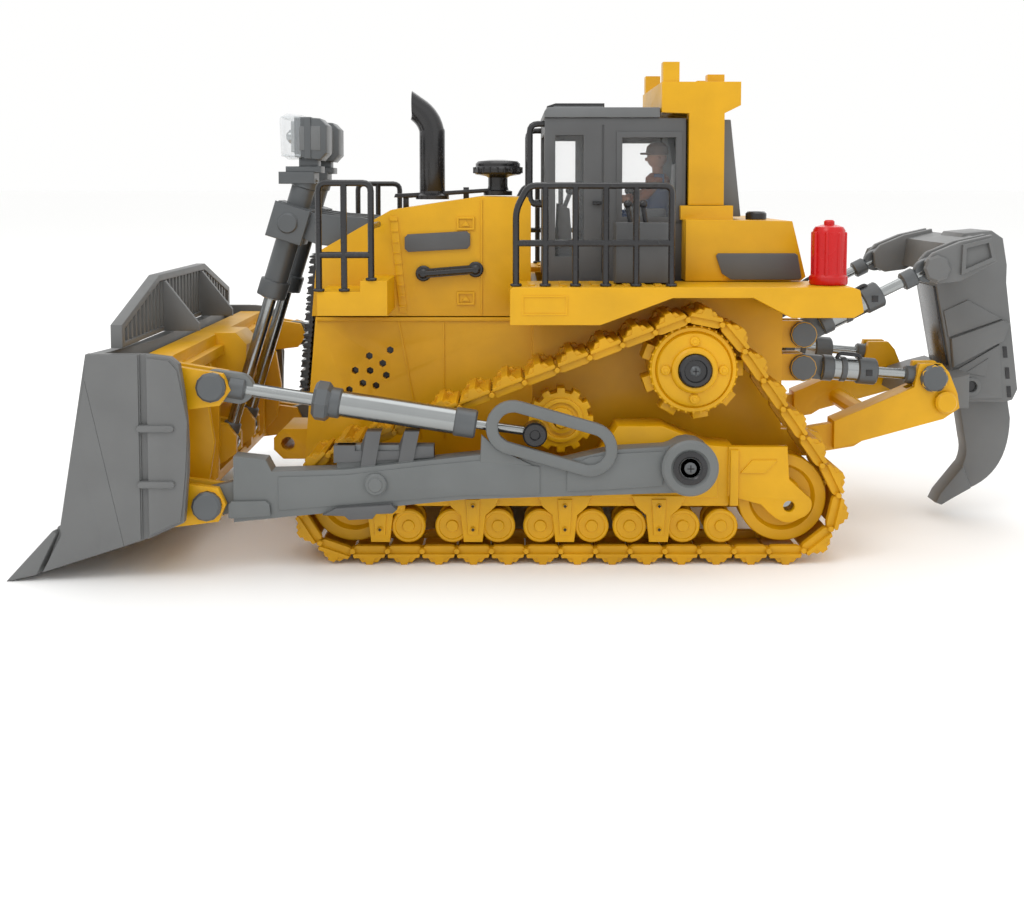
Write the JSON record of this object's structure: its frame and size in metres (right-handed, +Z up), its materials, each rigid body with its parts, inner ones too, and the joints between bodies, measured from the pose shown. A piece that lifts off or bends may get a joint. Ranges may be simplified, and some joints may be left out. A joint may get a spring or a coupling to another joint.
{
  "type": "toy crawler bulldozer with ripper",
  "caption": "Toy crawler bulldozer: blade on push arms with braces and lift cylinders, high-sprocket belts, cab with driver, rails, lamps, and a cylinder-driven rear ripper.",
  "frame": {"origin": "centre of the bounding box in plan, on the ground under the belts", "axes": "+X from the blade towards the ripper, +Y towards the machine's right-hand side, +Z up"},
  "size_m": [0.4, 0.176, 0.1932],
  "materials": {
    "yellow_plastic": "glossy moulded yellow",
    "belt_plastic": "semi-gloss moulded yellow",
    "blade_grey": "satin painted grey",
    "arm_grey": "satin painted grey",
    "chrome_plate": "plated",
    "dark_grey": "satin moulded dark grey",
    "black_gloss": "glossy moulded black",
    "roof_grey": "satin moulded grey",
    "red_gloss": "glossy moulded red",
    "figure_blue": "matte painted",
    "board_green": "circuit board laminate",
    "clear_pane": "clear moulded pane"
  },
  "bodies": {
    "machine": {"chassis": "yellow_plastic", "battery_cover": "dark_grey", "battery_pack": "figure_blue", "drive_gearbox": "black_gloss", "circuit_board": "board_green", "hood": "yellow_plastic", "radiator_grille": "black_gloss", "exhaust_stack": "black_gloss", "air_precleaner": "black_gloss", "fender_left": "yellow_plastic", "fender_right": "yellow_plastic", "rear_body": "yellow_plastic", "cab_shell": "dark_grey", "cab_roof": "roof_grey", "cab_glazing": "clear_pane", "rops_frame": "yellow_plastic", "seat_console": "dark_grey", "driver": "figure_blue", "extinguisher": "red_gloss", "deck_rail_left": "black_gloss", "deck_rail_right": "black_gloss", "front_rail_left": "black_gloss", "front_rail_right": "black_gloss", "track_left": "belt_plastic", "track_right": "belt_plastic", "roller_frame_left": "yellow_plastic", "roller_frame_right": "yellow_plastic"},
    "push_frame": {"push_arm_left": "arm_grey", "push_arm_right": "arm_grey"},
    "blade": {"blade_shell": "blade_grey", "blade_back": "yellow_plastic", "cutting_edge": "blade_grey", "spill_guard": "blade_grey"},
    "ripper_arm": {"ripper_arm": "yellow_plastic"},
    "ripper_head": {"ripper_head": "blade_grey", "ripper_shank": "blade_grey"},
    "brace_left": {"brace_left": "chrome_plate"},
    "lift_barrel_left": {"lift_barrel_left": "chrome_plate", "lamp_left": "dark_grey"},
    "lift_rod_left": {"lift_rod_left": "chrome_plate"},
    "ripper_upper_barrel_left": {"ripper_upper_barrel_left": "chrome_plate"},
    "ripper_upper_rod_left": {"ripper_upper_rod_left": "chrome_plate"},
    "ripper_lower_barrel_left": {"ripper_lower_barrel_left": "chrome_plate"},
    "ripper_lower_rod_left": {"ripper_lower_rod_left": "chrome_plate"},
    "sprocket_left": {"sprocket_left": "yellow_plastic"},
    "front_idler_left": {"front_idler_left": "yellow_plastic"},
    "rear_idler_left": {"rear_idler_left": "yellow_plastic"},
    "carrier_left": {"carrier_left": "yellow_plastic"},
    "brace_right": {"brace_right": "chrome_plate"},
    "lift_barrel_right": {"lift_barrel_right": "chrome_plate", "lamp_right": "dark_grey"},
    "lift_rod_right": {"lift_rod_right": "chrome_plate"},
    "ripper_upper_barrel_right": {"ripper_upper_barrel_right": "chrome_plate"},
    "ripper_upper_rod_right": {"ripper_upper_rod_right": "chrome_plate"},
    "ripper_lower_barrel_right": {"ripper_lower_barrel_right": "chrome_plate"},
    "ripper_lower_rod_right": {"ripper_lower_rod_right": "chrome_plate"},
    "sprocket_right": {"sprocket_right": "yellow_plastic"},
    "front_idler_right": {"front_idler_right": "yellow_plastic"},
    "rear_idler_right": {"rear_idler_right": "yellow_plastic"},
    "carrier_right": {"carrier_right": "yellow_plastic"}
  },
  "joints": [
    {"name": "blade_lift", "type": "hinge", "parent": "machine", "child": "push_frame", "pos_m": [0.0489, 0, 0.0406], "axis": [0, 1, 0], "range_deg": [0, 10]},
    {"name": "blade_pitch", "type": "hinge", "parent": "push_frame", "child": "blade", "pos_m": [-0.1278, 0, 0.0266], "axis": [0, 1, 0], "range_deg": [0, 5]},
    {"name": "ripper_lift", "type": "hinge", "parent": "machine", "child": "ripper_arm", "pos_m": [0.104, 0, 0.04], "axis": [0, -1, 0], "range_deg": [0, 20]},
    {"name": "ripper_head_level", "type": "hinge", "parent": "ripper_arm", "child": "ripper_head", "pos_m": [0.1585, 0, 0.0565], "axis": [0, -1, 0], "range_deg": [-21, 1]},
    {"name": "brace_slide_left", "type": "slide", "parent": "push_frame", "child": "brace_left", "axis": [0.9882, 0, -0.1531], "range_m": [-0.0002, 0.00422]},
    {"name": "lift_barrel_tilt_left", "type": "hinge", "parent": "machine", "child": "lift_barrel_left", "pos_m": [-0.1077, -0.017, 0.1283], "axis": [0, 1, 0], "range_deg": [-0.5, 7.1]},
    {"name": "lift_rod_slide_left", "type": "slide", "parent": "lift_barrel_left", "child": "lift_rod_left", "axis": [0.2973, 0, 0.9548], "range_m": [-0.0005, 0.0314]},
    {"name": "ripper_upper_tilt_left", "type": "hinge", "parent": "machine", "child": "ripper_upper_barrel_left", "pos_m": [0.1008, -0.033, 0.084], "axis": [0, -1, 0], "range_deg": [-0.5, 19.06]},
    {"name": "ripper_upper_slide_left", "type": "slide", "parent": "ripper_upper_barrel_left", "child": "ripper_upper_rod_left", "axis": [0.8944, 0, 0.4472], "range_m": [-0.0005, 0.00365]},
    {"name": "ripper_lower_tilt_left", "type": "hinge", "parent": "machine", "child": "ripper_lower_barrel_left", "pos_m": [0.1008, -0.033, 0.0706], "axis": [0, -1, 0], "range_deg": [-0.5, 19.9]},
    {"name": "ripper_lower_slide_left", "type": "slide", "parent": "ripper_lower_barrel_left", "child": "ripper_lower_rod_left", "axis": [-0.9965, 0, 0.0832], "range_m": [-0.0005, 0.01115]},
    {"name": "sprocket_spin_left", "type": "hinge", "parent": "machine", "child": "sprocket_left", "pos_m": [0.0527, -0.057, 0.0741], "axis": [0, 1, 0], "continuous": true},
    {"name": "front_idler_spin_left", "type": "hinge", "parent": "machine", "child": "front_idler_left", "pos_m": [-0.0768, -0.057, 0.024], "axis": [0, 1, 0], "continuous": true},
    {"name": "rear_idler_spin_left", "type": "hinge", "parent": "machine", "child": "rear_idler_left", "pos_m": [0.0876, -0.057, 0.024], "axis": [0, 1, 0], "continuous": true},
    {"name": "carrier_spin_left", "type": "hinge", "parent": "machine", "child": "carrier_left", "pos_m": [0.0026, -0.057, 0.0538], "axis": [0, 1, 0], "continuous": true},
    {"name": "brace_slide_right", "type": "slide", "parent": "push_frame", "child": "brace_right", "axis": [0.9882, 0, -0.1531], "range_m": [-0.0002, 0.00422]},
    {"name": "lift_barrel_tilt_right", "type": "hinge", "parent": "machine", "child": "lift_barrel_right", "pos_m": [-0.1077, 0.017, 0.1283], "axis": [0, 1, 0], "range_deg": [-0.5, 7.1]},
    {"name": "lift_rod_slide_right", "type": "slide", "parent": "lift_barrel_right", "child": "lift_rod_right", "axis": [0.2973, 0, 0.9548], "range_m": [-0.0005, 0.0314]},
    {"name": "ripper_upper_tilt_right", "type": "hinge", "parent": "machine", "child": "ripper_upper_barrel_right", "pos_m": [0.1008, 0.033, 0.084], "axis": [0, -1, 0], "range_deg": [-0.5, 19.06]},
    {"name": "ripper_upper_slide_right", "type": "slide", "parent": "ripper_upper_barrel_right", "child": "ripper_upper_rod_right", "axis": [0.8944, 0, 0.4472], "range_m": [-0.0005, 0.00365]},
    {"name": "ripper_lower_tilt_right", "type": "hinge", "parent": "machine", "child": "ripper_lower_barrel_right", "pos_m": [0.1008, 0.033, 0.0706], "axis": [0, -1, 0], "range_deg": [-0.5, 19.9]},
    {"name": "ripper_lower_slide_right", "type": "slide", "parent": "ripper_lower_barrel_right", "child": "ripper_lower_rod_right", "axis": [-0.9965, 0, 0.0832], "range_m": [-0.0005, 0.01115]},
    {"name": "sprocket_spin_right", "type": "hinge", "parent": "machine", "child": "sprocket_right", "pos_m": [0.0527, 0.057, 0.0741], "axis": [0, 1, 0], "continuous": true},
    {"name": "front_idler_spin_right", "type": "hinge", "parent": "machine", "child": "front_idler_right", "pos_m": [-0.0768, 0.057, 0.024], "axis": [0, 1, 0], "continuous": true},
    {"name": "rear_idler_spin_right", "type": "hinge", "parent": "machine", "child": "rear_idler_right", "pos_m": [0.0876, 0.057, 0.024], "axis": [0, 1, 0], "continuous": true},
    {"name": "carrier_spin_right", "type": "hinge", "parent": "machine", "child": "carrier_right", "pos_m": [0.0026, 0.057, 0.0538], "axis": [0, 1, 0], "continuous": true}
  ],
  "couplings": [
    {"joint": "ripper_head_level", "follows": "ripper_lift", "ratio": -1},
    {"joint": "brace_slide_left", "follows": "blade_pitch", "m_per_rad": 0.04374},
    {"joint": "lift_barrel_tilt_left", "follows": "blade_lift", "ratio": 0.65956},
    {"joint": "lift_rod_slide_left", "follows": "blade_lift", "m_per_rad": 0.17704},
    {"joint": "ripper_upper_tilt_left", "follows": "ripper_lift", "ratio": 0.92819},
    {"joint": "ripper_upper_slide_left", "follows": "ripper_lift", "m_per_rad": 0.009029},
    {"joint": "ripper_lower_tilt_left", "follows": "ripper_lift", "ratio": 0.97022},
    {"joint": "ripper_lower_slide_left", "follows": "ripper_lift", "m_per_rad": 0.030523},
    {"joint": "front_idler_spin_left", "follows": "sprocket_spin_left", "ratio": 1.0833},
    {"joint": "rear_idler_spin_left", "follows": "sprocket_spin_left", "ratio": 1.0833},
    {"joint": "carrier_spin_left", "follows": "sprocket_spin_left", "ratio": 1.5},
    {"joint": "brace_slide_right", "follows": "blade_pitch", "m_per_rad": 0.04374},
    {"joint": "lift_barrel_tilt_right", "follows": "blade_lift", "ratio": 0.65956},
    {"joint": "lift_rod_slide_right", "follows": "blade_lift", "m_per_rad": 0.17704},
    {"joint": "ripper_upper_tilt_right", "follows": "ripper_lift", "ratio": 0.92819},
    {"joint": "ripper_upper_slide_right", "follows": "ripper_lift", "m_per_rad": 0.009029},
    {"joint": "ripper_lower_tilt_right", "follows": "ripper_lift", "ratio": 0.97022},
    {"joint": "ripper_lower_slide_right", "follows": "ripper_lift", "m_per_rad": 0.030523},
    {"joint": "front_idler_spin_right", "follows": "sprocket_spin_right", "ratio": 1.0833},
    {"joint": "rear_idler_spin_right", "follows": "sprocket_spin_right", "ratio": 1.0833},
    {"joint": "carrier_spin_right", "follows": "sprocket_spin_right", "ratio": 1.5}
  ]
}
